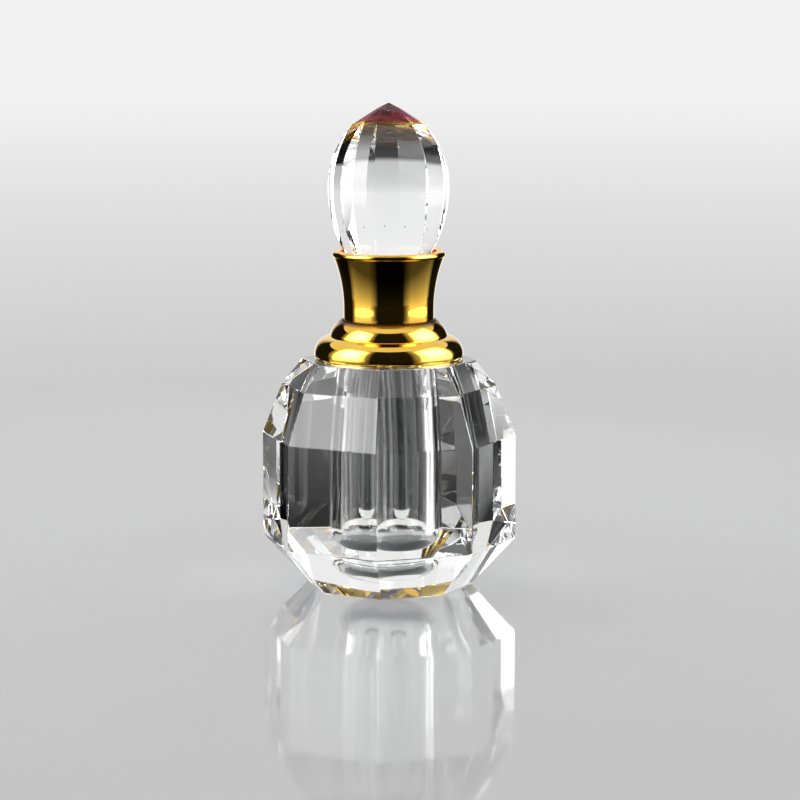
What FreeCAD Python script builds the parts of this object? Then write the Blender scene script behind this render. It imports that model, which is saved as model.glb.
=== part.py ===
# Crystal perfume bottle with a screw-on stopper: a faceted block of glass with a drilled well,
# a gilded collar and threaded neck bonded to its top, and a flared gilded cap that carries a
# glass dabber rod below and a faceted crystal finial above.
# Millimetres, +Z up. The origin is the centre of the flat base, and a vertical edge faces -Y.
import FreeCAD, Part
import math
import os

V = FreeCAD.Vector
AXIS = V(0, 0, 1)
ORIGIN = V(0, 0, 0)

# ---- driving dimensions -------------------------------------------------------------------

# crystal body: regular octagons, given by the radius to their corners
body_sides = 8
base_radius = 15.6           # flat the bottle stands on
girdle_radius = 24.0         # upright wall, 48 across corners
bevel_radius = 20.2          # where the steep bevel meets the 45 degree one
shoulder_radius = 16.3       # flat top that carries the fittings
base_chamfer_height = 9.0
wall_height = 19.7
steep_bevel_height = 9.4
top_bevel_height = 4.7

# drilled well
well_radius = 7.65
well_floor_z = 8.0
well_corner_radius = 2.5     # the drill rounds the corner of the floor

# bonding films
film = 0.2                   # thickness of every cured adhesive layer
film_inset = 0.3             # how far the collar's film stays back from the edges it bonds
finial_film_inset = 0.9      # the same under the finial's foot

# collar: two stacked domes of spun brass
collar_wall = 0.8
lower_dome_radius = 14.0
lower_dome_roll = 3.35       # radius of the rounded section
lower_dome_centre_up = 0.95  # height of the roll's centre above the bottom edge
upper_dome_foot_radius = 11.0
upper_dome_foot_up = 4.55    # above the bottom edge of the collar
upper_dome_height = 2.65
upper_dome_bulge = 0.3       # how far the dome stands out of its chord
rim_land = 0.25              # narrow top land of the collar's mouth

# threaded neck
neck_root_radius = 5.7
thread_depth = 0.7
thread_pitch = 2.1
thread_turns = 2.0
thread_root_width = 1.3
thread_crest_width = 0.5
neck_bore_radius = 4.0
neck_height = 14.5           # flange underside to lip
neck_flange_thickness = 1.3
neck_flange_gap = 0.3        # between the flange and the inside of the collar
thread_below_lip = 1.2
lip_round = 0.4

# stopper: cap shell
cap_radius = 8.48            # plain lower part
cap_mouth_drop = 0.4         # how far the skirt stands inside the collar's mouth
cap_height = 13.4
cap_plain_height = 2.4
cap_flare_out = 1.9          # how much wider the concave flare ends
cap_bead_radius = 0.6        # rolled rim
cap_bead_meets = 56          # degrees below level where the flare runs into the bead
cap_wall = 0.78
cap_edge_round = 0.15
cap_seat_depth = 1.1         # recess that takes the finial
cap_seat_gap = 0.45          # room round the finial's corners at the rim of its recess
cap_web = 1.05               # plate between the finial's seat and the liner
collar_gap = 0.32            # running gap between the cap's skirt and the collar's mouth

# stopper: liner, plug, washer and rod
liner_gap = 0.05             # press gap between liner and shell
liner_setback = 0.5          # liner's mouth above the skirt's edge
liner_roof = 0.9
liner_thread_depth = 0.45
thread_clearance = 0.2       # between the crests of the two threads
turn_gap = 0.15              # running gap between stacked stopper pieces
plug_flange_radius = 5.4
plug_flange_thickness = 1.1
plug_barrel_radius = 3.2
plug_bead_radius = 3.7
plug_bead_height = 1.0
washer_thickness = 1.0
washer_bore_gap = 0.2        # washer's bore around the plug's barrel
washer_radius = 5.4
unscrew_turns = 1.5          # turns that free the cap from the neck
pickup_gap = 0.3             # slack left before the bead lifts the washer
rod_radius = 2.4
rod_fit = 0.03               # bonded gap between rod and plug
rod_tip_above_floor = 4.9
rod_end_cover = 0.6          # plug material above the rod's end

# finial: twelve upright panels, each curved from top to bottom, and a pointed crown
finial_panels = 12
finial_half_width = 11.1     # centre to the middle of a panel at the belly
belly_up = 12.8              # belly above the finial's flat foot
lower_curve_radius = 25.9
upper_curve_radius = 17.2
crown_up = 24.5              # lower edge of the crown above the foot
crown_slope = 32.7           # degrees, all twelve crown facets
point_slope = 26.8           # degrees, six facets of the very tip
point_sides = 6
finial_height = 28.4

# ---- heights that follow ------------------------------------------------------------------

girdle_low_z = base_chamfer_height
girdle_high_z = girdle_low_z + wall_height
bevel_z = girdle_high_z + steep_bevel_height
shoulder_z = bevel_z + top_bevel_height
fittings_z = shoulder_z + film
flange_top_z = fittings_z + neck_flange_thickness
lip_z = fittings_z + neck_height
dome_centre_z = fittings_z + lower_dome_centre_up
upper_foot_z = fittings_z + upper_dome_foot_up
mouth_z = upper_foot_z + upper_dome_height
mouth_radius = cap_radius + collar_gap
cap_low_z = mouth_z - cap_mouth_drop
cap_high_z = cap_low_z + cap_height
seat_z = cap_high_z - cap_seat_depth
web_z = seat_z - cap_web
cap_bore_radius = cap_radius - cap_wall
liner_top_z = web_z - liner_gap
liner_radius = cap_bore_radius - liner_gap
thread_crest_radius = neck_root_radius + thread_depth
liner_crest_radius = thread_crest_radius + thread_clearance
liner_bore_radius = liner_crest_radius + liner_thread_depth
washer_low_z = lip_z + turn_gap
washer_high_z = washer_low_z + washer_thickness
plug_flange_low_z = washer_high_z + turn_gap
plug_flange_high_z = plug_flange_low_z + plug_flange_thickness
unscrew_rise = unscrew_turns * thread_pitch
bead_top_z = washer_low_z - unscrew_rise - pickup_gap
plug_low_z = bead_top_z - plug_bead_height
rod_tip_z = well_floor_z + rod_tip_above_floor
rod_top_z = plug_flange_high_z - rod_end_cover
finial_z = seat_z + film


# ---- small helpers ------------------------------------------------------------------------

def at(radius, z):
    """Point of a half section, in the XZ plane."""
    return V(radius, 0, z)


def path(*steps):
    """Closed face from a list of points; a pair (through, end) is an arc."""
    edges = []
    start = steps[0]
    here = start
    for step in steps[1:]:
        if isinstance(step, tuple):
            through, end = step
            edges.append(Part.Arc(here, through, end).toShape())
        else:
            end = step
            edges.append(Part.makeLine(here, end))
        here = end
    if not here.isEqual(start, 1e-9):
        edges.append(Part.makeLine(here, start))
    return Part.Face(Part.Wire(edges))


def turned(*steps):
    """Solid turned from a half section about the Z axis."""
    return path(*steps).revolve(ORIGIN, AXIS, 360)


def on_circle(centre_r, centre_z, radius, degrees):
    """Point on a circle of the half section."""
    a = math.radians(degrees)
    return at(centre_r + radius * math.cos(a), centre_z + radius * math.sin(a))


def bulged(start, end, bulge):
    """Middle point of an arc that stands out of its chord, to the right of start to end."""
    chord = end - start
    side = V(chord.z, 0, -chord.x).normalize()
    return (start + end) * 0.5 + side * bulge


def polygon(sides, radius, z, turn=0.0):
    """Corner points of a level regular polygon, the first one turned from -Y towards +X."""
    step = 2 * math.pi / sides
    first = math.radians(turn) - math.pi / 2
    return [V(radius * math.cos(first + k * step), radius * math.sin(first + k * step), z)
            for k in range(sides)]


def faceted(rings):
    """Solid with flat facets between level polygons given from bottom to top."""
    faces = [Part.Face(Part.makePolygon(ring + ring[:1])) for ring in (rings[0], rings[-1])]
    for low, high in zip(rings, rings[1:]):
        for k in range(len(low)):
            n = (k + 1) % len(low)
            faces.append(Part.Face(Part.makePolygon([low[k], low[n], high[n], high[k], low[k]])))
    solid = Part.makeSolid(Part.makeShell(faces))
    if solid.Volume < 0:
        solid.reverse()
    return solid


def thread_ridge(wall_radius, depth, turns, z):
    """Helical ridge on a cylinder; it points outwards when depth is positive."""
    sink = math.copysign(0.15, depth)
    root = thread_root_width / 2
    crest = thread_crest_width / 2
    section = Part.makePolygon([at(wall_radius - sink, z - root), at(wall_radius + depth, z - crest),
                                at(wall_radius + depth, z + crest), at(wall_radius - sink, z + root),
                                at(wall_radius - sink, z - root)])
    helix = Part.makeHelix(thread_pitch, thread_pitch * turns, wall_radius)
    helix.translate(V(0, 0, z))
    return Part.Wire(helix.Edges).makePipeShell([section], True, True)


# ---- fixed pieces -------------------------------------------------------------------------

def bottle_body():
    heights = ((base_radius, 0), (girdle_radius, girdle_low_z), (girdle_radius, girdle_high_z),
               (bevel_radius, bevel_z), (shoulder_radius, shoulder_z))
    block = faceted([polygon(body_sides, radius, z) for radius, z in heights])
    corner_r = well_radius - well_corner_radius
    corner_z = well_floor_z + well_corner_radius
    above = shoulder_z + well_radius
    well = turned(at(0, well_floor_z), at(corner_r, well_floor_z),
                  (on_circle(corner_r, corner_z, well_corner_radius, -45), at(well_radius, corner_z)),
                  at(well_radius, above), at(0, above))
    return block.cut(well)


def collar_adhesive():
    outer = collar_foot_radius() - film_inset
    inner = well_radius + film_inset
    return turned(at(inner, shoulder_z), at(outer, shoulder_z), at(outer, fittings_z), at(inner, fittings_z))


def dome_reach(roll, height):
    """Radius of a dome's rounded section at a height above the section's centre."""
    return lower_dome_radius - lower_dome_roll + math.sqrt(roll ** 2 - height ** 2)


def collar_foot_radius():
    return dome_reach(lower_dome_roll, lower_dome_centre_up)


def collar_foot_bore():
    return dome_reach(lower_dome_roll - collar_wall, lower_dome_centre_up)


def collar():
    roll_r = lower_dome_radius - lower_dome_roll
    inner_roll = lower_dome_roll - collar_wall
    inner_foot = upper_dome_foot_radius - collar_wall
    shelf_z = dome_centre_z + math.sqrt(lower_dome_roll ** 2 - (upper_dome_foot_radius - roll_r) ** 2)
    under_z = dome_centre_z + math.sqrt(inner_roll ** 2 - (inner_foot - roll_r) ** 2)
    foot = at(upper_dome_foot_radius, upper_foot_z)
    crown = at(mouth_radius + rim_land, mouth_z)
    inner_top = at(mouth_radius, mouth_z - 2 * rim_land)
    throat = at(mouth_radius, mouth_z - collar_wall - 2 * rim_land)
    waist = at(inner_foot, upper_foot_z)
    return turned(at(collar_foot_bore(), fittings_z), at(collar_foot_radius(), fittings_z),
                  (on_circle(roll_r, dome_centre_z, lower_dome_roll, 35), at(upper_dome_foot_radius, shelf_z)),
                  foot, (bulged(foot, crown, upper_dome_bulge), crown),
                  (bulged(crown, inner_top, rim_land / 4), inner_top),
                  throat, (bulged(throat, waist, -upper_dome_bulge), waist),
                  at(inner_foot, under_z),
                  (on_circle(roll_r, dome_centre_z, inner_roll, 35), at(collar_foot_bore(), fittings_z)))


def neck():
    flange = collar_foot_bore() - neck_flange_gap
    blank = turned(at(neck_bore_radius, fittings_z), at(flange, fittings_z), at(flange, flange_top_z),
                   at(neck_root_radius, flange_top_z), at(neck_root_radius, lip_z - lip_round),
                   (on_circle(neck_root_radius - lip_round, lip_z - lip_round, lip_round, 45),
                    at(neck_root_radius - lip_round, lip_z)),
                   at(neck_bore_radius, lip_z))
    start = lip_z - thread_below_lip - thread_turns * thread_pitch
    return blank.fuse(thread_ridge(neck_root_radius, thread_depth, thread_turns, start))


# ---- stopper ------------------------------------------------------------------------------

def cap_shell():
    flare_low_z = cap_low_z + cap_plain_height
    bead_r = cap_radius + cap_flare_out - cap_bead_radius * math.cos(math.radians(cap_bead_meets))
    bead_z = cap_high_z - cap_bead_radius
    flare_top = on_circle(bead_r, bead_z, cap_bead_radius, -cap_bead_meets)
    rise = flare_top.z - flare_low_z
    curve = (rise ** 2 + cap_flare_out ** 2) / (2 * cap_flare_out)
    middle = at(cap_radius + curve - math.sqrt(curve ** 2 - rise ** 2 / 4), flare_low_z + rise / 2)
    seat_radius = finial_seat_radius()
    edge = cap_edge_round
    return turned(at(cap_bore_radius, cap_low_z), at(cap_radius - edge, cap_low_z),
                  (on_circle(cap_radius - edge, cap_low_z + edge, edge, -45), at(cap_radius, cap_low_z + edge)),
                  at(cap_radius, flare_low_z), (middle, flare_top),
                  (on_circle(bead_r, bead_z, cap_bead_radius, 0), at(bead_r, cap_high_z)),
                  at(seat_radius, cap_high_z), at(seat_radius, seat_z), at(0, seat_z), at(0, web_z),
                  at(cap_bore_radius, web_z))


def cap_liner():
    low_z = cap_low_z + liner_setback
    roof_z = plug_flange_high_z + turn_gap
    blank = turned(at(liner_bore_radius, low_z), at(liner_radius, low_z), at(liner_radius, liner_top_z),
                   at(0, liner_top_z), at(0, roof_z), at(liner_bore_radius, roof_z))
    start = lip_z - thread_below_lip - (thread_turns + 0.5) * thread_pitch
    return blank.fuse(thread_ridge(liner_bore_radius, -liner_thread_depth, thread_turns, start))


def seal_washer():
    bore = plug_barrel_radius + washer_bore_gap
    return turned(at(bore, washer_low_z), at(washer_radius, washer_low_z),
                  at(washer_radius, washer_high_z), at(bore, washer_high_z))


def plug():
    bore = rod_radius + rod_fit
    step = plug_bead_radius - plug_barrel_radius
    return turned(at(bore, plug_low_z), at(plug_barrel_radius, plug_low_z),
                  at(plug_bead_radius, plug_low_z + step), at(plug_bead_radius, bead_top_z),
                  at(plug_barrel_radius, bead_top_z), at(plug_barrel_radius, plug_flange_low_z),
                  at(plug_flange_radius, plug_flange_low_z), at(plug_flange_radius, plug_flange_high_z),
                  at(0, plug_flange_high_z), at(0, rod_top_z + rod_fit), at(bore, rod_top_z + rod_fit))


def dabber_rod():
    centre_z = rod_tip_z + rod_radius
    return turned(at(0, rod_tip_z), (on_circle(0, centre_z, rod_radius, -45), at(rod_radius, centre_z)),
                  at(rod_radius, rod_top_z), at(0, rod_top_z))


# ---- finial -------------------------------------------------------------------------------

def panel_reach(up):
    """Distance from the axis to a panel at a height above the finial's foot, below the crown."""
    curve = lower_curve_radius if up < belly_up else upper_curve_radius
    return finial_half_width - curve + math.sqrt(curve ** 2 - (up - belly_up) ** 2)


def corner(reach):
    """Radius to the corner between two panels that stand reach from the axis."""
    return reach / math.cos(math.pi / finial_panels)


def finial_seat_radius():
    """Recess that the finial's foot drops into, clear of its corners at the rim."""
    return corner(panel_reach(cap_seat_depth)) + cap_seat_gap


def finial():
    def both(up):
        return at(panel_reach(up), finial_z + up), at(-panel_reach(up), finial_z + up)

    foot, foot_l = both(0)
    low, low_l = both(belly_up / 2)
    belly, belly_l = both(belly_up)
    high, high_l = both((belly_up + crown_up) / 2)
    crown, crown_l = both(crown_up)
    peak = at(0, crown.z + crown.x * math.tan(math.radians(crown_slope)))
    slab = path(foot, (low, belly), (high, crown), peak, crown_l, (high_l, belly_l), (low_l, foot_l))
    slab.translate(V(0, -2 * finial_half_width, 0))
    slab = slab.extrude(V(0, 4 * finial_half_width, 0))
    solid = slab
    for k in range(1, finial_panels // 2):
        turn = slab.copy()
        turn.rotate(ORIGIN, AXIS, 360 / finial_panels * k)
        solid = solid.common(turn)
    wide = 2 * finial_half_width
    apothem = wide * math.cos(math.pi / point_sides)
    tip = V(0, 0, finial_z + finial_height)
    rim = polygon(point_sides, wide, tip.z - apothem * math.tan(math.radians(point_slope)))
    below = [V(p.x, p.y, finial_z - film) for p in rim]
    sides = [Part.Face(Part.makePolygon([below[k], below[k - 1], rim[k - 1], rim[k], below[k]]))
             for k in range(point_sides)]
    roof = [Part.Face(Part.makePolygon([rim[k], rim[k - 1], tip, rim[k]])) for k in range(point_sides)]
    floor = Part.Face(Part.makePolygon(below + below[:1]))
    hood = Part.makeSolid(Part.makeShell(sides + roof + [floor]))
    return solid.common(hood)


def finial_adhesive():
    radius = panel_reach(0) - finial_film_inset
    return turned(at(0, seat_z), at(radius, seat_z), at(radius, finial_z), at(0, finial_z))


# ---- write the parts ----------------------------------------------------------------------

PIECES = {
    "bottle_body": bottle_body,
    "collar_adhesive": collar_adhesive,
    "collar": collar,
    "neck": neck,
    "cap_shell": cap_shell,
    "cap_liner": cap_liner,
    "seal_washer": seal_washer,
    "plug": plug,
    "dabber_rod": dabber_rod,
    "finial": finial,
    "finial_adhesive": finial_adhesive,
}

os.makedirs("parts", exist_ok=True)
for name, make in PIECES.items():
    shape = make()
    box = shape.BoundBox
    print(f"{name:16s} solids {len(shape.Solids)} valid {shape.isValid()} volume {shape.Volume:9.2f}"
          f" z {box.ZMin:6.2f} to {box.ZMax:6.2f} width {box.XLength:6.2f}")
    shape.exportStep(f"parts/{name}.step")
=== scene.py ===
# %% [markdown]
# # A cut-crystal perfume bottle
#
# The bottle is a block of clear crystal with a drilled well, a gilded collar, and a screw-on
# stopper: a flared gilded cap with a glass rod under it and a faceted crystal egg on top.
# The construction already exists as a fixed frame. This lesson dresses it: crystal that bends
# light crisply, mirror-polished gold, an iridescent point, and a plain studio round them.

# %% Load the frame
import math
import bmesh
import bpy
from mathutils import Matrix, Vector


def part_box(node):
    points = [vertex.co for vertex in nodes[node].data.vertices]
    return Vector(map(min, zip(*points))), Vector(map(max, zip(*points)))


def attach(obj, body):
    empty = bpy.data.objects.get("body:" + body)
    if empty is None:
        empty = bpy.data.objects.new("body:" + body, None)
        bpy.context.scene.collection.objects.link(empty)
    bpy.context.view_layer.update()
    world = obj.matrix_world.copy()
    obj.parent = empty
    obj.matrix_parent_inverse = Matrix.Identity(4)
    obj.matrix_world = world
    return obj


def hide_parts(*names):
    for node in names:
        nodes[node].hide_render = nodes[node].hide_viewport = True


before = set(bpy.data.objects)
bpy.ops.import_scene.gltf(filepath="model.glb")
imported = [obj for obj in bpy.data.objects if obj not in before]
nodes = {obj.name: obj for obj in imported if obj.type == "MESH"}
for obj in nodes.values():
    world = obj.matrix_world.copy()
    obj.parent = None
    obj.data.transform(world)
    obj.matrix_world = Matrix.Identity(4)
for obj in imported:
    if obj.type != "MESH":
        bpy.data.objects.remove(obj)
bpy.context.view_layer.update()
MM = 0.001

# %% [markdown]
# ## Helpers for round and faceted work
#
# Almost everything on the bottle is either turned on a lathe or ground into flat facets. A turned
# piece is one half section spun about the upright axis. It could also be a cylinder primitive
# pushed about ring by ring, but a spun section keeps the maker's drawing visible in the code:
# a list of corners, with arcs where the tool ran round. Mirror gold shows every facet of a mesh,
# so the spin takes many steps, and creases are marked sharp by their angle.

# %% Lathe and mesh helpers
ROUND_STEPS = 180


def arc(centre_r, centre_z, radius, start, stop, count):
    """Points along part of a circle in the half section, angles in degrees from level."""
    angles = [math.radians(start + (stop - start) * k / count) for k in range(count + 1)]
    return [(centre_r + radius * math.cos(a), centre_z + radius * math.sin(a)) for a in angles]


def finish_mesh(bm, name, crease=30.0):
    """Turns a bmesh into a smooth-shaded object with sharp creases, faces outwards."""
    bmesh.ops.remove_doubles(bm, verts=bm.verts, dist=1e-7)
    bmesh.ops.delete(bm, geom=[e for e in bm.edges if e.is_wire], context="EDGES")
    bmesh.ops.recalc_face_normals(bm, faces=bm.faces)
    mesh = bpy.data.meshes.new(name)
    for face in bm.faces:
        face.smooth = True
    bm.to_mesh(mesh)
    bm.free()
    mesh.set_sharp_from_angle(angle=math.radians(crease))
    piece = bpy.data.objects.new(name, mesh)
    bpy.context.scene.collection.objects.link(piece)
    print(f"{name}: {len(mesh.polygons)} faces")
    return piece


def spun(bm, section, steps=ROUND_STEPS, closed=True):
    """Spins a half section about the Z axis inside a bmesh."""
    verts = [bm.verts.new((r, 0, z)) for r, z in section]
    pairs = list(zip(verts, verts[1:] + verts[:1] if closed else verts[1:]))
    edges = [bm.edges.new(pair) for pair in pairs]
    bmesh.ops.spin(bm, geom=verts + edges, cent=(0, 0, 0), axis=(0, 0, 1),
                   angle=2 * math.pi, steps=steps, use_merge=True)


def turned(name, section, steps=ROUND_STEPS, closed=True, crease=30.0):
    bm = bmesh.new()
    spun(bm, section, steps, closed)
    return finish_mesh(bm, name, crease)


# %% [markdown]
# ## The crystal body
#
# A glass cutter starts from a sawn block and grinds flat facets on a wheel: eight upright sides,
# a wide chamfer down to the foot, and two tiers of bevels up to the shoulder. Each edge keeps a
# hair-thin arris, which catches the light as a bright line. Here an octagon is pushed upwards
# tier by tier and scaled, which keeps every facet flat, and one small bevel makes all the
# arrises at once. The drilled well is a turned wall that rounds into its floor like a bowl,
# joined to the shoulder by filling the flat between the octagon and the circle.

# %% Cut the body
body_low, body_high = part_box("bottle_body")
GIRDLE = body_high.x
BASE, BEVEL, SHOULDER = 15.6 * MM, 20.2 * MM, 16.3 * MM
CHAMFER_Z = 9.0 * MM
WALL_Z = CHAMFER_Z + 19.7 * MM
BEVEL_Z = WALL_Z + 9.4 * MM
ARRIS = 0.09 * MM
WELL_RADIUS, WELL_FLOOR, WELL_BOWL = 7.65 * MM, 8.0 * MM, 4.2 * MM
OPTICAL_BOND = 0.02 * MM    # how far a bonded film reaches into the glass, so no air shows between


def stacked(bm, sides, rings, turn=0.0):
    """Pushes a polygon upwards through (radius, z) rings; every facet between rings is flat."""
    radius, z = rings[0]
    place = Matrix.Translation((0, 0, z)) @ Matrix.Rotation(math.radians(turn), 4, "Z")
    made = bmesh.ops.create_circle(bm, cap_ends=True, segments=sides, radius=radius, matrix=place)
    floor = top = made["verts"][0].link_faces[0]
    for next_radius, next_z in rings[1:]:
        grown = bmesh.ops.extrude_face_region(bm, geom=[top])["geom"]
        if top is not floor:
            bmesh.ops.delete(bm, geom=[top], context="FACES_ONLY")
        verts = [g for g in grown if isinstance(g, bmesh.types.BMVert)]
        top = next(g for g in grown if isinstance(g, bmesh.types.BMFace))
        bmesh.ops.translate(bm, verts=verts, vec=(0, 0, next_z - z))
        ratio = next_radius / radius
        bmesh.ops.scale(bm, verts=verts, vec=(ratio, ratio, 1))
        radius, z = next_radius, next_z
    return top


def cut_body():
    bm = bmesh.new()
    top_z = body_high.z + OPTICAL_BOND
    stacked(bm, 8, [(BASE, body_low.z), (GIRDLE, CHAMFER_Z), (GIRDLE, WALL_Z),
                    (BEVEL, BEVEL_Z), (SHOULDER, top_z)])
    bmesh.ops.recalc_face_normals(bm, faces=bm.faces)
    bmesh.ops.bevel(bm, geom=bm.edges[:], offset=ARRIS, offset_type="OFFSET", segments=1,
                    profile=0.5, affect="EDGES", material=-1)
    facets = len(bm.faces)
    shoulder = max(bm.faces, key=lambda f: f.calc_center_median().z)
    rim = shoulder.edges[:]
    bmesh.ops.delete(bm, geom=[shoulder], context="FACES_ONLY")
    flat = WELL_RADIUS - WELL_BOWL
    bowl = arc(flat, WELL_FLOOR + WELL_BOWL, WELL_BOWL, -90, 0, 16)
    spun(bm, [(0, WELL_FLOOR)] + bowl + [(WELL_RADIUS, top_z)], steps=144, closed=False)
    bmesh.ops.remove_doubles(bm, verts=bm.verts, dist=1e-7)
    mouth = [e for e in bm.edges if e.is_boundary and e not in rim]
    bmesh.ops.triangle_fill(bm, use_beauty=True, use_dissolve=False, edges=rim + mouth)
    print("facets and arrises:", facets)
    return finish_mesh(bm, "crystal_body", crease=8.0)


crystal_body = cut_body()
for face in crystal_body.data.polygons:
    if math.hypot(face.center.x, face.center.y) < WELL_RADIUS:
        face.material_index = 1     # the drilled wall is polished, but never as fine as the facets
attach(crystal_body, "bottle")
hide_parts("bottle_body")

# %% [markdown]
# ## The crystal finial
#
# The egg on top has twelve upright panels. Each is flat across and curved from top to bottom,
# because the stone is rocked against the wheel. So the outline is two arcs, and the egg is a
# twelve-sided polygon pushed up through many rings that follow them. Only the edges between
# panels are creases. The pointed crown is ground afterwards: twelve sloping facets, then six
# flatter ones that meet in the point, each made here as one saw cut with a plane.

# %% Grind the finial
finial_low, finial_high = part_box("finial")
PANELS, POINT_FACETS, CURVE_RINGS = 12, 6, 44
HALF_WIDTH = 11.1 * MM
BELLY_UP, CROWN_UP = 12.8 * MM, 24.5 * MM
LOWER_CURVE, UPPER_CURVE = 25.9 * MM, 17.2 * MM
CROWN_SLOPE, POINT_SLOPE = math.radians(32.7), math.radians(26.8)
RIDGE = 0.05 * MM           # how far the edge between two panels is ground back
AIR = 0.01 * MM             # hair of air between two clear pieces that only rest on each other


def panel_reach(up):
    """Distance from the axis to a panel, at a height above the finial's foot."""
    curve = LOWER_CURVE if up < BELLY_UP else UPPER_CURVE
    return HALF_WIDTH - curve + math.sqrt(curve ** 2 - (up - BELLY_UP) ** 2)


def grind_finial():
    bm = bmesh.new()
    foot = finial_low.z
    corner = 1 / math.cos(math.pi / PANELS)
    steps = [CROWN_UP * k / CURVE_RINGS for k in range(CURVE_RINGS + 1)]
    rings = [(panel_reach(up) * corner, foot + up) for up in steps]
    rings[0] = (rings[0][0], foot + AIR)
    crown_reach = panel_reach(CROWN_UP)
    peak = foot + CROWN_UP + crown_reach * math.tan(CROWN_SLOPE)
    stub = crown_reach * 0.04   # the crown is first ground to a small flat, cut away by the point
    rings.append((stub * corner, peak - stub * math.tan(CROWN_SLOPE)))
    stacked(bm, PANELS, rings, turn=180 / PANELS)
    for k in range(POINT_FACETS):
        around = 2 * math.pi * k / POINT_FACETS
        lean = Vector((math.sin(POINT_SLOPE) * math.cos(around),
                       math.sin(POINT_SLOPE) * math.sin(around), math.cos(POINT_SLOPE)))
        sawn = bmesh.ops.bisect_plane(bm, geom=bm.verts[:] + bm.edges[:] + bm.faces[:], dist=1e-8,
                                      plane_co=(0, 0, finial_high.z), plane_no=lean, clear_outer=True)
        cut = [g for g in sawn["geom_cut"] if isinstance(g, bmesh.types.BMEdge)]
        bmesh.ops.holes_fill(bm, edges=cut, sides=0)
    bmesh.ops.recalc_face_normals(bm, faces=bm.faces)
    ridges = [e for e in bm.edges if len(e.link_faces) == 2 and e.calc_face_angle(0) > math.radians(12)]
    bmesh.ops.bevel(bm, geom=ridges, offset=RIDGE, offset_type="OFFSET", segments=1,
                    profile=0.5, affect="EDGES", material=-1, clamp_overlap=True)
    return finish_mesh(bm, "crystal_finial", crease=7.0)


crystal_finial = grind_finial()
for face in crystal_finial.data.polygons:
    if face.center.z > finial_low.z + CROWN_UP - 0.02 * MM:
        face.material_index = 1
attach(crystal_finial, "cap")
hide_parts("finial")

# %% [markdown]
# ## The dabber rod
#
# A drawn glass rod, cut to length and rounded in a flame. It is a plain turned shape, and its
# only surprise is optical: seen through the well's air and the thick crystal it looks thin.

# %% Draw the rod
rod_low, rod_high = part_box("dabber_rod")
ROD_RADIUS = rod_high.x
rod_tip = arc(0, rod_low.z + ROD_RADIUS, ROD_RADIUS, -90, 0, 14)
rod_section = rod_tip + [(ROD_RADIUS, rod_high.z), (0, rod_high.z)]
glass_rod = turned("glass_rod", rod_section, steps=96, closed=False)
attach(glass_rod, "dabber")
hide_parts("dabber_rod")

# %% [markdown]
# ## The gilded collar
#
# Two stacked domes spun from one disc of brass over a former, then polished and plated. The
# section is drawn once, outside and inside, and turned. A softer crease line where the upper
# dome rises from the lower one keeps the highlight from breaking.

# %% Spin the collar
collar_low, collar_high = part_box("collar")
WALL = 0.8 * MM
DOME_RADIUS, DOME_ROLL = collar_high.x, 3.35 * MM
DOME_CENTRE = collar_low.z + 0.95 * MM
FOOT_RADIUS, FOOT_Z = 11.0 * MM, collar_low.z + 4.55 * MM
MOUTH_RADIUS, LAND = 8.8 * MM, 0.25 * MM
UPPER_BULGE = 0.3 * MM


def bulged(start, end, bulge, count):
    """Arc from start to end that stands out of its chord by bulge, to the right of the way along."""
    (r0, z0), (r1, z1) = start, end
    chord = math.hypot(r1 - r0, z1 - z0)
    side_r, side_z = (z1 - z0) / chord, -(r1 - r0) / chord
    radius = (chord ** 2 / 4 + bulge ** 2) / (2 * bulge)
    points = []
    for k in range(count + 1):
        t = k / count
        along = (t - 0.5) * chord
        out = math.copysign(math.sqrt(radius ** 2 - along ** 2), radius) - radius + bulge
        points.append((r0 + (r1 - r0) * t + side_r * out, z0 + (z1 - z0) * t + side_z * out))
    return points


def collar_section():
    roll_r = DOME_RADIUS - DOME_ROLL
    low = -math.degrees(math.asin((DOME_CENTRE - collar_low.z) / DOME_ROLL))
    high = math.degrees(math.acos((FOOT_RADIUS - roll_r) / DOME_ROLL))
    outside = arc(roll_r, DOME_CENTRE, DOME_ROLL, low, high, 26)
    crown = (MOUTH_RADIUS + LAND, collar_high.z)
    inner_top = (MOUTH_RADIUS, collar_high.z - 2 * LAND)
    throat = (MOUTH_RADIUS, collar_high.z - WALL - 2 * LAND)
    waist = (FOOT_RADIUS - WALL, FOOT_Z)
    upper = bulged((FOOT_RADIUS, FOOT_Z), crown, UPPER_BULGE, 16)
    lip = bulged(crown, inner_top, LAND / 4, 6)
    inside_roll = DOME_ROLL - WALL
    in_low = -math.degrees(math.asin((DOME_CENTRE - collar_low.z) / inside_roll))
    in_high = math.degrees(math.acos((FOOT_RADIUS - WALL - roll_r) / inside_roll))
    inside = arc(roll_r, DOME_CENTRE, inside_roll, in_high, in_low, 14)
    return outside + upper + lip[1:] + bulged(throat, waist, -UPPER_BULGE, 8) + inside


gilt_collar = turned("gilt_collar", collar_section(), crease=24)
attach(gilt_collar, "bottle")
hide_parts("collar")

# %% [markdown]
# ## The gilded cap
#
# A plain skirt that flares like a trumpet into a rolled rim, with a shallow seat in the top for
# the finial. The flare is one arc that starts upright, so the polished light runs down it
# without a break. The rim is a separate small roll, where the brass turns over.

# %% Turn the cap
cap_low, cap_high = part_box("cap_shell")
SKIRT_RADIUS, CAP_WALL, EDGE = 8.48 * MM, 0.78 * MM, 0.15 * MM
PLAIN_HEIGHT, FLARE_OUT = 2.4 * MM, 1.9 * MM
BEAD, BEAD_MEETS = 0.6 * MM, 56
SEAT_DEPTH, WEB = 1.1 * MM, 1.05 * MM
SEAT_GAP = 0.45 * MM
SEAT_RADIUS = panel_reach(SEAT_DEPTH) / math.cos(math.pi / PANELS) + SEAT_GAP


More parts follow.
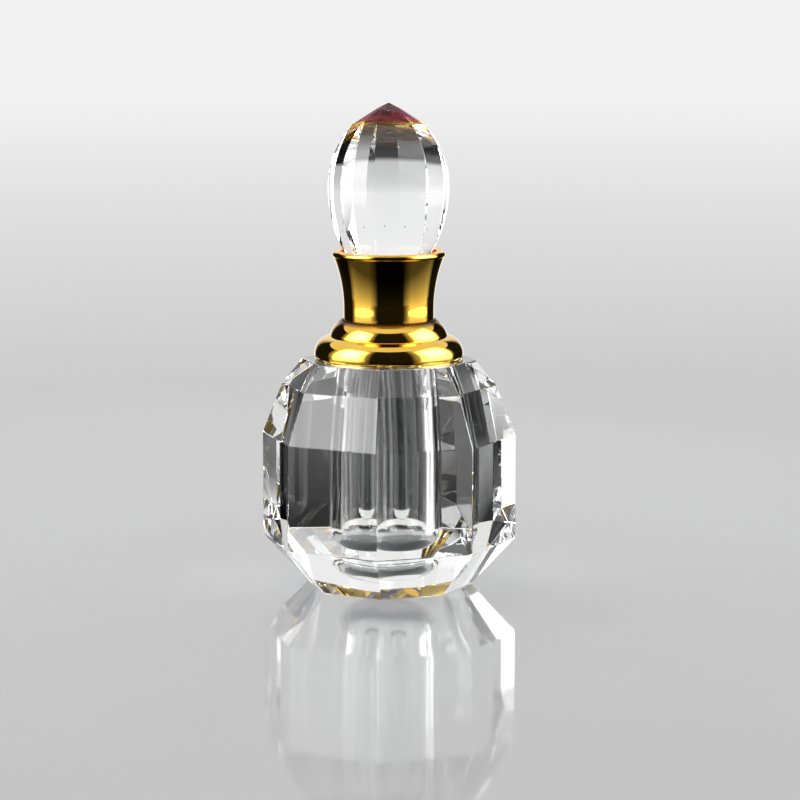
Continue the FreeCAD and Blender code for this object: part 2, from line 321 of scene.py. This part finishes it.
def cap_section():
    flare_low = cap_low.z + PLAIN_HEIGHT
    bead_r = cap_high.x - BEAD
    bead_z = cap_high.z - BEAD
    bead = arc(bead_r, bead_z, BEAD, -BEAD_MEETS, 90, 14)
    flare_r, flare_z = bead[0]
    rise, out = flare_z - flare_low, flare_r - SKIRT_RADIUS
    curve = (rise ** 2 + out ** 2) / (2 * out)
    turn = math.degrees(math.asin(rise / curve))
    flare = arc(SKIRT_RADIUS + curve, flare_low, curve, 180, 180 - turn, 30)
    bore = SKIRT_RADIUS - CAP_WALL
    seat_z = cap_high.z - SEAT_DEPTH
    foot_edge = arc(SKIRT_RADIUS - EDGE, cap_low.z + EDGE, EDGE, -90, 0, 5)
    seat_edge = arc(SEAT_RADIUS + EDGE, cap_high.z - EDGE, EDGE, 90, 180, 5)
    return ([(bore, cap_low.z)] + foot_edge + flare + bead[1:]
            + [(SEAT_RADIUS + EDGE, cap_high.z)] + seat_edge[1:]
            + [(SEAT_RADIUS, seat_z), (0, seat_z), (0, seat_z - WEB), (bore, seat_z - WEB)])


gilt_cap = turned("gilt_cap", cap_section(), crease=24)
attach(gilt_cap, "cap")
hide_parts("cap_shell")

# %% [markdown]
# ## Finishes: shared effects
#
# No surface is perfect. Polished glass and gilding carry faint smears where fingers and cloths
# have been, hair-fine polishing lines, and a few specks of dust. Several materials need these,
# so they are built once as a node group and placed in each material with its own values. The
# group puts out plain masks, and the shader stays in the material.

# %% The handling group
def put(socket, value):
    """Sets an input: a socket is linked to it, anything else becomes its value."""
    if isinstance(value, bpy.types.NodeSocket):
        socket.id_data.links.new(value, socket)
    else:
        socket.default_value = value


def add(tree, kind, inputs=None, **settings):
    """Adds a node with its settings, then fills or links its inputs by name or number."""
    made = tree.nodes.new(kind)
    for key, value in settings.items():
        setattr(made, key, value)
    for key, value in (inputs or {}).items():
        put(made.inputs[key], value)
    return made


def maths(tree, operation, a, b=0.0, clamp=False):
    return add(tree, "ShaderNodeMath", {0: a, 1: b}, operation=operation, use_clamp=clamp).outputs[0]


def spread(tree, value, low, high, to_low=0.0, to_high=1.0):
    """Maps a range of a value onto another range, clamped at both ends."""
    return add(tree, "ShaderNodeMapRange", {0: value, 1: low, 2: high, 3: to_low, 4: to_high}).outputs[0]


def noise(tree, vector, scale, detail=2.0, rough=0.5):
    made = add(tree, "ShaderNodeTexNoise", {"Vector": vector, "Scale": scale, "Detail": detail,
                                            "Roughness": rough})
    return made.outputs["Fac"]


def stretch(tree, vector, scale):
    return add(tree, "ShaderNodeMapping", {"Vector": vector, "Scale": scale}).outputs[0]


def handling_group():
    """Smears, polishing lines and dust. Lengths are in metres, as Object coordinates are."""
    group = bpy.data.node_groups.new("handling", "ShaderNodeTree")
    new = group.interface.new_socket
    new("Vector", in_out="INPUT", socket_type="NodeSocketVector")
    new("Smear scale", in_out="INPUT", socket_type="NodeSocketFloat")
    new("Line scale", in_out="INPUT", socket_type="NodeSocketFloat")
    new("Dust size", in_out="INPUT", socket_type="NodeSocketFloat")
    for name in ("Smears", "Lines", "Dust"):
        new(name, in_out="OUTPUT", socket_type="NodeSocketFloat")
    given = group.nodes.new("NodeGroupInput").outputs
    result = group.nodes.new("NodeGroupOutput").inputs
    place = given["Vector"]
    broad = noise(group, place, given["Smear scale"], 3, 0.6)
    fine = noise(group, place, maths(group, "MULTIPLY", given["Smear scale"], 7), 2, 0.6)
    smears = maths(group, "MULTIPLY", spread(group, broad, 0.48, 0.75), spread(group, fine, 0.3, 0.7))
    put(result["Smears"], smears)
    ring = stretch(group, place, (1, 1, 26))
    put(result["Lines"], noise(group, ring, given["Line scale"], 2, 0.7))
    cells = add(group, "ShaderNodeTexVoronoi", {"Vector": place, "Scale": 900.0})
    near = maths(group, "LESS_THAN", cells.outputs["Distance"], given["Dust size"])
    chosen = maths(group, "GREATER_THAN", noise(group, place, 420.0, 1), 0.72)
    put(result["Dust"], maths(group, "MULTIPLY", near, chosen))
    return group


HANDLING = handling_group()


def handled(tree, smear_scale, line_scale, dust_size):
    """Places the handling group on Object coordinates, and gives both."""
    place = add(tree, "ShaderNodeTexCoord").outputs["Object"]
    made = add(tree, "ShaderNodeGroup", node_tree=HANDLING)
    for key, value in (("Vector", place), ("Smear scale", smear_scale), ("Line scale", line_scale),
                       ("Dust size", dust_size)):
        put(made.inputs[key], value)
    return place, made.outputs


def blank(name):
    """A new material with an empty node tree and its output node."""
    made = bpy.data.materials.new(name)
    made.use_nodes = True
    made.node_tree.nodes.clear()
    return made, made.node_tree, made.node_tree.nodes.new("ShaderNodeOutputMaterial").inputs["Surface"]


def blend_colour(tree, mask, a, b):
    made = add(tree, "ShaderNodeMix", data_type="RGBA")
    put(made.inputs["Factor"], mask)
    put(made.inputs["A"], a)
    put(made.inputs["B"], b)
    return made.outputs["Result"]


def bump(tree, height, strength, distance):
    return add(tree, "ShaderNodeBump", {"Height": height, "Strength": strength,
                                        "Distance": distance}).outputs[0]


print("group handling:", len(HANDLING.nodes), "nodes")

# %% [markdown]
# ## Crystal
#
# Crystal is nothing but refraction: white, fully transmitting, and ground flat. What tells it
# from plastic is how crisply it bends light, so its roughness is close to nothing and only
# smears lift it. A path tracer finds lamps through glass badly, so shadow rays pass straight
# through a pale transparent surface instead. That keeps a light shadow under the bottle.

# %% Crystal materials
def crystal(name, colour=(1, 1, 1, 1), ior=1.52, smear=0.05, film=None, tinted=None, streaks=0.0):
    made, tree, surface = blank(name)
    place, effects = handled(tree, 45.0, 60.0, 0.12)
    height, depth = noise(tree, place, 160.0, 1), 0.01
    if streaks:
        height, depth = noise(tree, stretch(tree, place, (1, 1, 0.015)), 1700.0, 3, 0.65), streaks
    rough = spread(tree, effects["Smears"], 0, 1, 0.0, smear)
    cloud = noise(tree, place, 70.0, 2)
    clear = blend_colour(tree, spread(tree, cloud, 0.35, 0.65), colour, tinted or colour)
    clear = blend_colour(tree, effects["Dust"], clear, (0.2, 0.2, 0.19, 1))
    glass = add(tree, "ShaderNodeBsdfPrincipled", {"Base Color": clear, "Roughness": rough,
                "Transmission Weight": 1.0, "IOR": ior,
                "Normal": bump(tree, height, depth, 0.00003)})
    if film:
        glass.inputs["Thin Film Thickness"].default_value = film[0]
        glass.inputs["Thin Film IOR"].default_value = film[1]
    lamp_light = add(tree, "ShaderNodeBsdfTransparent", {"Color": (0.86, 0.88, 0.88, 1)})
    shadow = add(tree, "ShaderNodeLightPath").outputs["Is Shadow Ray"]
    put(surface, add(tree, "ShaderNodeMixShader", {0: shadow, 1: glass.outputs[0],
                                                   2: lamp_light.outputs[0]}).outputs[0])
    return made


def dress(piece, *finishes):
    """Gives a piece its materials, in the order of its faces' numbers."""
    numbers = [face.material_index for face in piece.data.polygons]
    piece.data.materials.clear()
    for finish in finishes:
        piece.data.materials.append(finish)
    for face, number in zip(piece.data.polygons, numbers):
        face.material_index = min(number, len(finishes) - 1)


body_glass = crystal("cut_crystal", (1, 1, 1, 1), tinted=(0.985, 0.995, 0.99, 1))
finial_glass = crystal("ground_crystal", (1, 1, 1, 1), tinted=(0.99, 0.995, 1.0, 1), smear=0.04)
well_glass = crystal("drilled_well_glass", tinted=(0.98, 0.99, 0.985, 1), streaks=1.0)
drawn_glass = crystal("drawn_rod_glass", (0.97, 0.99, 0.985, 1), ior=1.5, tinted=(0.99, 1, 1, 1))
dress(crystal_body, body_glass, well_glass)
dress(glass_rod, drawn_glass)
light_paths = bpy.context.scene.cycles     # light turns many times inside cut crystal
light_paths.max_bounces = light_paths.transmission_bounces = light_paths.glossy_bounces = 32
print("crystal:", [m.name for m in (body_glass, well_glass, finial_glass, drawn_glass)])

# %% [markdown]
# ## The iridescent crown
#
# The pointed top has a vapour-coated film, the kind jewellers call vitrail. Interference in the
# film makes it green-gold where it begins and magenta to plum above, and takes most of the light
# out at the tip. It is the same crystal with a thin film and a colour that climbs with height.

# %% Crown material
FILM_COLOURS = (            # share of the crown's height, and what the film lets through there
    (0.0, (0.5, 0.62, 0.005, 1)),           # green-gold
    (0.12, (0.14, 0.03, 0.0004, 1)),        # amber
    (0.26, (0.035, 0.0004, 0.003, 1)),      # deep red
    (0.55, (0.018, 0.0004, 0.003, 1)),      # plum
    (0.72, (0.005, 0.004, 0.006, 1)))       # nearly black


def coated_crown():
    made = crystal("vitrail_crown", film=(420.0, 1.45))
    tree = made.node_tree
    glass = next(n for n in tree.nodes if n.type == "BSDF_PRINCIPLED")
    place = add(tree, "ShaderNodeTexCoord").outputs["Object"]
    height = add(tree, "ShaderNodeSeparateXYZ", {0: place}).outputs["Z"]
    wander = spread(tree, noise(tree, place, 260.0, 2), 0.3, 0.7, -0.12, 0.12)
    crown_z = finial_low.z + CROWN_UP
    climb = maths(tree, "ADD", spread(tree, height, crown_z, finial_high.z), wander)
    ramp = add(tree, "ShaderNodeValToRGB", {"Fac": climb})
    foot, point = ramp.color_ramp.elements
    foot.position, foot.color = FILM_COLOURS[0]
    point.position, point.color = FILM_COLOURS[-1]
    for position, colour in FILM_COLOURS[1:-1]:
        ramp.color_ramp.elements.new(position).color = colour
    put(glass.inputs["Base Color"], ramp.outputs["Color"])
    glass.inputs["Specular IOR Level"].default_value = 0.14
    glass.inputs["Specular Tint"].default_value = (1.0, 0.35, 0.42, 1)
    return made


crown_glass = coated_crown()
dress(crystal_finial, finial_glass, crown_glass)
print("crown:", crown_glass.name)

# %% [markdown]
# ## Mirror gold
#
# The collar and the cap are brass, polished like a mirror and plated with a deep yellow gold.
# A metal's colour is its reflection, so Base Color holds the gold, Metallic is one, and all the
# life comes from what it reflects. Smears dull it in patches, faint polishing lines run round
# it, and the plating is a little redder where it is thin. The cap's flat top was never buffed,
# so a mask on height turns it satin.

# %% Gold materials
GOLD, THIN_GOLD = (0.91, 0.59, 0.10, 1), (0.87, 0.50, 0.07, 1)


def gilt(name, polish=0.035, smear=0.10, lines=0.05, satin_from=None, seam=None, deep=GOLD,
         thin=THIN_GOLD):
    """Plated brass. A seam is a height where painted shade darkens the gold in the gap between two parts,
    with a slightly rougher band there.
    """
    made, tree, surface = blank(name)
    place, effects = handled(tree, 70.0, 120.0, 0.14)
    colour = blend_colour(tree, spread(tree, noise(tree, place, 110.0, 3), 0.35, 0.65), deep, thin)
    colour = blend_colour(tree, effects["Dust"], colour, (0.35, 0.26, 0.12, 1))
    rough = maths(tree, "ADD", polish, maths(tree, "MULTIPLY", effects["Smears"], smear))
    rough = maths(tree, "ADD", rough, maths(tree, "MULTIPLY", effects["Dust"], 0.4))
    height = add(tree, "ShaderNodeSeparateXYZ", {0: place}).outputs["Z"]
    if seam is not None:
        # painted shade: the gold darkens towards the seam where the cap meets the collar
        painted_seam_shade = spread(tree, maths(tree, "ABSOLUTE", maths(tree, "SUBTRACT", height, seam)),
                       0.15 * MM, 0.75 * MM, 1.0, 0.0)
        colour = blend_colour(tree, painted_seam_shade, colour, (0.10, 0.045, 0.012, 1))
        rough = maths(tree, "ADD", rough, maths(tree, "MULTIPLY", painted_seam_shade, 0.2))
    if satin_from is not None:
        satin = spread(tree, height, satin_from - 0.03 * MM, satin_from)
        rough = maths(tree, "ADD", rough, maths(tree, "MULTIPLY", satin, 0.3))
        colour = blend_colour(tree, satin, colour, (0.86, 0.56, 0.24, 1))
    metal = add(tree, "ShaderNodeBsdfPrincipled", {"Base Color": colour, "Metallic": 1.0,
                "Roughness": rough, "Normal": bump(tree, effects["Lines"], lines, 0.00002)})
    put(surface, metal.outputs[0])
    return made


cap_gold = gilt("mirror_gold_cap", satin_from=cap_high.z - 0.02 * MM, seam=cap_low.z)
collar_gold = gilt("mirror_gold_collar", seam=collar_high.z)
neck_gold = gilt("gold_wash_neck", polish=0.16, smear=0.12, lines=0.25, deep=(0.80, 0.54, 0.2, 1),
                 thin=(0.74, 0.46, 0.16, 1))
bond_gold = gilt("bond_over_gold", polish=0.06, smear=0.12, deep=(0.93, 0.70, 0.28, 1),
                 thin=(0.90, 0.62, 0.18, 1))
dress(gilt_cap, cap_gold)
dress(gilt_collar, collar_gold)
dress(nodes["neck"], neck_gold)
dress(nodes["collar_adhesive"], bond_gold)
dress(nodes["finial_adhesive"], bond_gold)
print("gold:", [m.name for m in (cap_gold, collar_gold, neck_gold, bond_gold)])

# %% [markdown]
# ## Moulded plastics
#
# The liner and plug are natural polyethylene: milky, waxy, and lightly scuffed where the thread
# rubs. The washer is a foamed disc with open pores on its cut edge. Both want a little light
# under the skin, which Subsurface gives, and a soft uneven gloss.

# %% Plastic materials
def plastic(name, pale, dull, rough, pores, pore_scale):
    made, tree, surface = blank(name)
    place, effects = handled(tree, 90.0, 160.0, 0.14)
    grain = noise(tree, place, pore_scale, 4, 0.65)
    colour = blend_colour(tree, maths(tree, "MULTIPLY", spread(tree, grain, 0.3, 0.7), 0.6), pale, dull)
    colour = blend_colour(tree, maths(tree, "MULTIPLY", effects["Smears"], 0.35), colour, dull)
    gloss = maths(tree, "ADD", rough, maths(tree, "MULTIPLY", effects["Smears"], 0.2))
    body = add(tree, "ShaderNodeBsdfPrincipled", {"Base Color": colour, "Roughness": gloss,
               "Subsurface Weight": 0.25, "Subsurface Scale": 0.0012, "IOR": 1.51,
               "Normal": bump(tree, grain, pores, 0.0001)})
    put(surface, body.outputs[0])
    return made


natural = plastic("natural_polyethylene", (0.88, 0.88, 0.84, 1), (0.78, 0.77, 0.71, 1), 0.38, 0.15, 900.0)
foam = plastic("foamed_washer", (0.84, 0.83, 0.8, 1), (0.7, 0.69, 0.65, 1), 0.6, 0.5, 2600.0)
dress(nodes["cap_liner"], natural)
dress(nodes["plug"], natural)
dress(nodes["seal_washer"], foam)
print("plastics:", natural.name, foam.name)

# %% [markdown]
# ## Studio
#
# The bottle stands on a sheet of pale acrylic that reflects it softly and fades into a plain
# pale room, which grows lighter upwards. Clear crystal and mirror gold have hardly a colour of
# their own: they are lit by what they reflect and bend. So the floor is even to the eye, but
# for mirrors and glass it shows a painted glow instead, a painted reflection that changes with
# the direction and the distance. Three sectors are painted dark. Elsewhere mirrors see the glow
# dim beside the bottle and bright further out. The crystal sees a painted bright patch below each
# softbox and painted dark behind the bottle, out to an edge a quarter of a metre away. A sector
# is a mask on the angle round the bottle, with soft ends, and Light Path tells the kinds of ray
# apart.

# %% Floor and room
FAR_TONE = 0.88             # how pale the far end of the sweep is, where 1 is white
VIEW_TURN = 5.2             # degrees the camera stands to the right of the front edge
# Sectors, in degrees to the right of the camera. The cards stand in FRONT, LEFT and RIGHT, and
# the floor's glow is painted dark there. LEFT_LIT and RIGHT_LIT are painted bright for the crystal,
# and BEHIND is painted dark to the crystal only.
FRONT, LEFT, RIGHT, BEHIND = (-48, 56), (-162, -92), (108, 164), (146, 216)
LEFT_LIT, RIGHT_LIT = (-100, -34), (42, 122)
CONTACT = 0.025, 0.05       # metres out: nearer than this all rays see the same floor
GLASS_EDGE = 0.23, 0.265    # metres out: beyond this the crystal sees the plain floor again
BRIGHTENS = 0.10, 0.29      # metres out: between these mirrors see the floor go from dim to bright
# DARK, DIM and BRIGHT are strengths of the floor's painted glow: painted dark, dim and bright
DARK, DIM, BRIGHT = 0.012, 0.08, 1.3


def sector(tree, place, ends):
    """One inside a sector around the bottle, fading to nothing towards its two ends."""
    start, stop = (math.radians(end + VIEW_TURN - 90) for end in ends)
    turned_back = add(tree, "ShaderNodeMapping", {"Vector": place,
                                                  "Rotation": (0, 0, -(start + stop) / 2)})
    flat = add(tree, "ShaderNodeSeparateXYZ", {0: turned_back.outputs[0]}).outputs
    away = maths(tree, "ABSOLUTE", maths(tree, "ARCTAN2", flat["Y"], flat["X"]))
    half = (stop - start) / 2
    return spread(tree, away, half * 0.6, half, 1.0, 0.0)


def ray_kinds(tree):
    """One for rays that look at the room: from the camera, in a mirror or through glass."""
    path = add(tree, "ShaderNodeLightPath").outputs
    looks = maths(tree, "MAXIMUM", path["Is Camera Ray"], path["Is Glossy Ray"])
    return maths(tree, "MAXIMUM", looks, path["Is Transmission Ray"])


def room_light():
    world = bpy.data.worlds.new("pale_room")
    bpy.context.scene.world = world
    world.use_nodes = True
    tree = world.node_tree
    background = next(n for n in tree.nodes if n.type == "BACKGROUND")
    direction = add(tree, "ShaderNodeTexCoord").outputs["Generated"]
    up = add(tree, "ShaderNodeSeparateXYZ", {0: direction}).outputs["Z"]
    shade = spread(tree, up, 0.0, 0.6, FAR_TONE, 0.98)
    put(background.inputs["Color"], add(tree, "ShaderNodeCombineColor",
                                        {0: shade, 1: shade, 2: shade}).outputs[0])
    put(background.inputs["Strength"], spread(tree, ray_kinds(tree), 0, 1, 0.6, 1.0))
    return world


def sheet_and_sweep(tree, place, away):
    """The floor as the camera sees it: a polished sheet that fades into the pale far end."""
    grain = noise(tree, place, 30.0, 3)
    pale = blend_colour(tree, grain, (0.37, 0.37, 0.38, 1), (0.39, 0.39, 0.40, 1))
    polish = add(tree, "ShaderNodeMapRange", {0: away, 1: 0.0, 2: 0.36, 3: 1.0, 4: 0.0},
                 interpolation_type="SMOOTHERSTEP").outputs[0]
    shine = maths(tree, "MULTIPLY", polish, add(tree, "ShaderNodeFresnel", {"IOR": 1.49}).outputs[0])
    matt = add(tree, "ShaderNodeBsdfDiffuse", {"Color": pale})
    gloss = add(tree, "ShaderNodeBsdfGlossy", {"Color": (1, 1, 1, 1), "Roughness": 0.05})
    sheet = add(tree, "ShaderNodeMixShader", {0: shine, 1: matt.outputs[0], 2: gloss.outputs[0]})
    far = add(tree, "ShaderNodeEmission", {"Color": (FAR_TONE, FAR_TONE, FAR_TONE, 1)})
    distance = maths(tree, "DIVIDE", away, maths(tree, "ADD", away, 0.5))
    fade = maths(tree, "MULTIPLY", maths(tree, "MULTIPLY", distance, 1.2, clamp=True), ray_kinds(tree))
    return add(tree, "ShaderNodeMixShader", {0: fade, 1: sheet.outputs[0], 2: far.outputs[0]})


def dark_and_lit(tree, place, away):
    """The floor's painted glow that mirrors and glass see, with painted dark sectors and painted bright
    patches, and a mask of the rays that see it.
    """
    # painted shade: the floor's glow goes dark in the card sectors, and behind the bottle for the crystal
    dark = 0.0
    for ends in (FRONT, LEFT, RIGHT):
        dark = maths(tree, "ADD", dark, sector(tree, place, ends))
    lit = maths(tree, "ADD", sector(tree, place, LEFT_LIT), sector(tree, place, RIGHT_LIT))
    path = add(tree, "ShaderNodeLightPath").outputs
    through = path["Is Transmission Ray"]
    behind = maths(tree, "MULTIPLY", sector(tree, place, BEHIND),
                   spread(tree, away, 0.03, 0.06, 0.0, 0.96))
    dark = maths(tree, "MAXIMUM", dark, maths(tree, "MULTIPLY", behind, through))
    # painted light: the glow is dim near the bottle and bright further out, with a painted bright patch
    # below each softbox for the crystal
    shine = maths(tree, "MAXIMUM", spread(tree, away, *BRIGHTENS, DIM, BRIGHT),
                  maths(tree, "MULTIPLY", maths(tree, "MULTIPLY", through, BRIGHT), lit))
    painted_floor_glow = add(tree, "ShaderNodeEmission", {"Color": (1, 1, 1, 1), "Strength":
                   maths(tree, "MULTIPLY", shine, spread(tree, dark, 0, 1, 1.0, DARK))})
    in_mirrors = maths(tree, "SUBTRACT", path["Is Glossy Ray"], through, clamp=True)
    near = maths(tree, "MULTIPLY", maths(tree, "ADD", dark, lit),
                 spread(tree, away, *GLASS_EDGE, 1.0, 0.0))
    shown = maths(tree, "MAXIMUM", in_mirrors, maths(tree, "MULTIPLY", through, near))
    return painted_floor_glow, maths(tree, "MULTIPLY", shown, spread(tree, away, *CONTACT))


def acrylic_floor():
    bm = bmesh.new()
    bmesh.ops.create_circle(bm, cap_ends=True, segments=96, radius=4.0)
    floor = finish_mesh(bm, "acrylic_floor")
    made, tree, surface = blank("pale_acrylic")
    place = add(tree, "ShaderNodeTexCoord").outputs["Object"]
    away = add(tree, "ShaderNodeVectorMath", {0: place}, operation="LENGTH").outputs["Value"]
    seen = sheet_and_sweep(tree, place, away)
    painted_floor_glow, shown = dark_and_lit(tree, place, away)
    put(surface, add(tree, "ShaderNodeMixShader", {0: shown, 1: seen.outputs[0],
                                                   2: painted_floor_glow.outputs[0]}).outputs[0])
    floor.data.materials.append(made)
    return floor


pale_room = room_light()
floor = acrylic_floor()
print("room:", pale_room.name, "floor:", floor.data.materials[0].name)

# %% [markdown]
# ## Softboxes and cards
#
# Two tall softboxes stand close on either side of the camera. They are area lamps, brightest in
# their middle as a cloth box is, and light linking keeps them off the floor, so the floor stays
# even. A broad overhead lamp gives the soft shadow. Dark cards fill the gaps between the boxes,
# as black boards do in a product studio, and give the gold its dark bands. A clear film over
# the floor marks the rays that leave the floor's own shine, and the cards let those rays pass.

# %% Softboxes
LAMP_REACH, CARD_REACH = 0.30, 0.25     # metres from the bottle's axis
spared = bpy.data.collections.new("spared_by_softboxes")
spared.objects.link(floor)
spared.collection_objects[0].light_linking.link_state = "EXCLUDE"


def softbox(name, turn, width, height, edge, core):
    """An upright lamp facing the bottle, turned to the right of the camera, brighter in its middle.

    Only mirrors and glass see it, so it leaves the floor evenly lit."""
    lamp = bpy.data.lights.new(name, "AREA")
    lamp.shape, lamp.size, lamp.size_y = "RECTANGLE", width, height
    lamp.energy = math.pi * width * height
    lamp.use_nodes = True
    tree = lamp.node_tree
    glow = next(n for n in tree.nodes if n.type == "EMISSION")
    across = add(tree, "ShaderNodeNewGeometry").outputs["Parametric"]
    spot = add(tree, "ShaderNodeSeparateXYZ", {0: across})
    middle = 1.0
    for way in (spot.outputs["X"], spot.outputs["Y"]):
        off = maths(tree, "ABSOLUTE", maths(tree, "SUBTRACT", way, 0.5))
        middle = maths(tree, "MULTIPLY", middle, spread(tree, off, 0.12, 0.47, 1.0, 0.0))
    put(glow.inputs["Strength"], spread(tree, middle, 0.0, 0.8, edge, core))
    made = bpy.data.objects.new(name, lamp)
    around = math.radians(turn + VIEW_TURN)
    made.location = (LAMP_REACH * math.sin(around), -LAMP_REACH * math.cos(around), height / 2 + 2 * MM)
    made.rotation_euler = (math.radians(90), 0, around)
    made.visible_camera = made.visible_diffuse = False
    made.light_linking.receiver_collection = spared
    bpy.context.scene.collection.objects.link(made)
    return made


def top_lamp():
    """A broad soft lamp overhead, which gives the bottle its faint shadow."""
    lamp = bpy.data.lights.new("top_lamp", "AREA")
    lamp.shape, lamp.size, lamp.energy = "SQUARE", 0.5, 2.6
    made = bpy.data.objects.new("top_lamp", lamp)
    made.location = (-0.12, 0.15, 0.7)
    made.rotation_euler = (-made.location).to_track_quat("-Z", "Y").to_euler()
    made.visible_camera = made.visible_glossy = made.visible_transmission = False
    bpy.context.scene.collection.objects.link(made)
    return made


def card(name, ends, height, for_glass):
    """An upright curved dark card with soft ends, seen in mirror gold and, if asked, through glass.

    What crossed the film that covers the floor does not see it, so the floor's shine stays even."""
    bm = bmesh.new()
    start, stop = (math.radians(end + VIEW_TURN) for end in ends)
    foot = Vector((CARD_REACH * math.sin(start), -CARD_REACH * math.cos(start), 0))
    edge = bm.edges.new([bm.verts.new(foot), bm.verts.new(foot + Vector((0, 0, height)))])
    bmesh.ops.spin(bm, geom=[*edge.verts, edge], cent=(0, 0, 0), axis=(0, 0, 1), steps=24,
                   angle=stop - start, use_merge=False)
    made = finish_mesh(bm, name)
    finish, tree, surface = blank(name)
    path = add(tree, "ShaderNodeLightPath").outputs
    seen = spread(tree, path["Is Transmission Ray"], 0, 1, 1.0, float(for_glass))
    seen = maths(tree, "MULTIPLY", seen, maths(tree, "LESS_THAN", path["Transparent Depth"], 0.5))
    place = add(tree, "ShaderNodeTexCoord").outputs["Object"]
    solid = maths(tree, "MULTIPLY", seen, sector(tree, place, ends))
    black = add(tree, "ShaderNodeBsdfDiffuse", {"Color": (0.02, 0.02, 0.021, 1)})
    clear = add(tree, "ShaderNodeBsdfTransparent")
    put(surface, add(tree, "ShaderNodeMixShader", {0: solid, 1: clear.outputs[0],
                                                   2: black.outputs[0]}).outputs[0])
    made.data.materials.append(finish)
    made.visible_camera = made.visible_shadow = made.visible_diffuse = False


def floor_film():
    """A clear film just over the floor, which only marks the rays that leave the floor's shine."""
    bm = bmesh.new()
    bmesh.ops.create_circle(bm, cap_ends=True, segments=96, radius=0.6)
    bmesh.ops.translate(bm, verts=bm.verts, vec=(0, 0, 0.03 * MM))
    made = finish_mesh(bm, "floor_film")
    finish, tree, surface = blank("clear_film")
    put(surface, add(tree, "ShaderNodeBsdfTransparent").outputs[0])
    made.data.materials.append(finish)
    made.visible_camera = made.visible_shadow = False
    made.visible_diffuse = made.visible_transmission = False


left_box = softbox("softbox_left", turn=-66, width=0.34, height=0.46, edge=1.4, core=7.5)
right_box = softbox("softbox_right", turn=82, width=0.38, height=0.46, edge=1.4, core=7.0)
overhead = top_lamp()
floor_film()
card("front_card", FRONT, height=0.45, for_glass=True)
card("left_card", LEFT, height=0.2, for_glass=False)
card("right_card", RIGHT, height=0.2, for_glass=False)
print("lamps:", [round(o.data.energy, 2) for o in (left_box, right_box, overhead)])

# %% [markdown]
# ## Camera
#
# A short telephoto lens, half a metre away and a hand's width above the base, looks slightly
# down and stands a few degrees to the right of the body's front edge.

# %% Place the camera
CAMERA_REACH, CAMERA_HEIGHT, CAMERA_ASIDE = 492.85 * MM, 108.65 * MM, 2.1 * MM
CAMERA_DOWN = 8.502         # degrees it looks down
FOCAL_LENGTH, SENSOR = 119.06, 36


def place_camera():
    lens = bpy.data.cameras.new("camera")
    lens.lens, lens.sensor_width = FOCAL_LENGTH, SENSOR
    lens.clip_start, lens.clip_end = 0.01, 20
    made = bpy.data.objects.new("camera", lens)
    around = math.radians(VIEW_TURN)
    made.location = (CAMERA_REACH * math.sin(around) + CAMERA_ASIDE * math.cos(around),
                     CAMERA_ASIDE * math.sin(around) - CAMERA_REACH * math.cos(around), CAMERA_HEIGHT)
    made.rotation_euler = (math.radians(90 - CAMERA_DOWN), 0, around)
    bpy.context.scene.collection.objects.link(made)
    bpy.context.scene.camera = made
    return made


camera = place_camera()
bpy.context.scene.view_settings.view_transform = "Standard"
print("camera at", [round(v, 4) for v in camera.location])

# %% Update the view layer
bpy.context.view_layer.update()
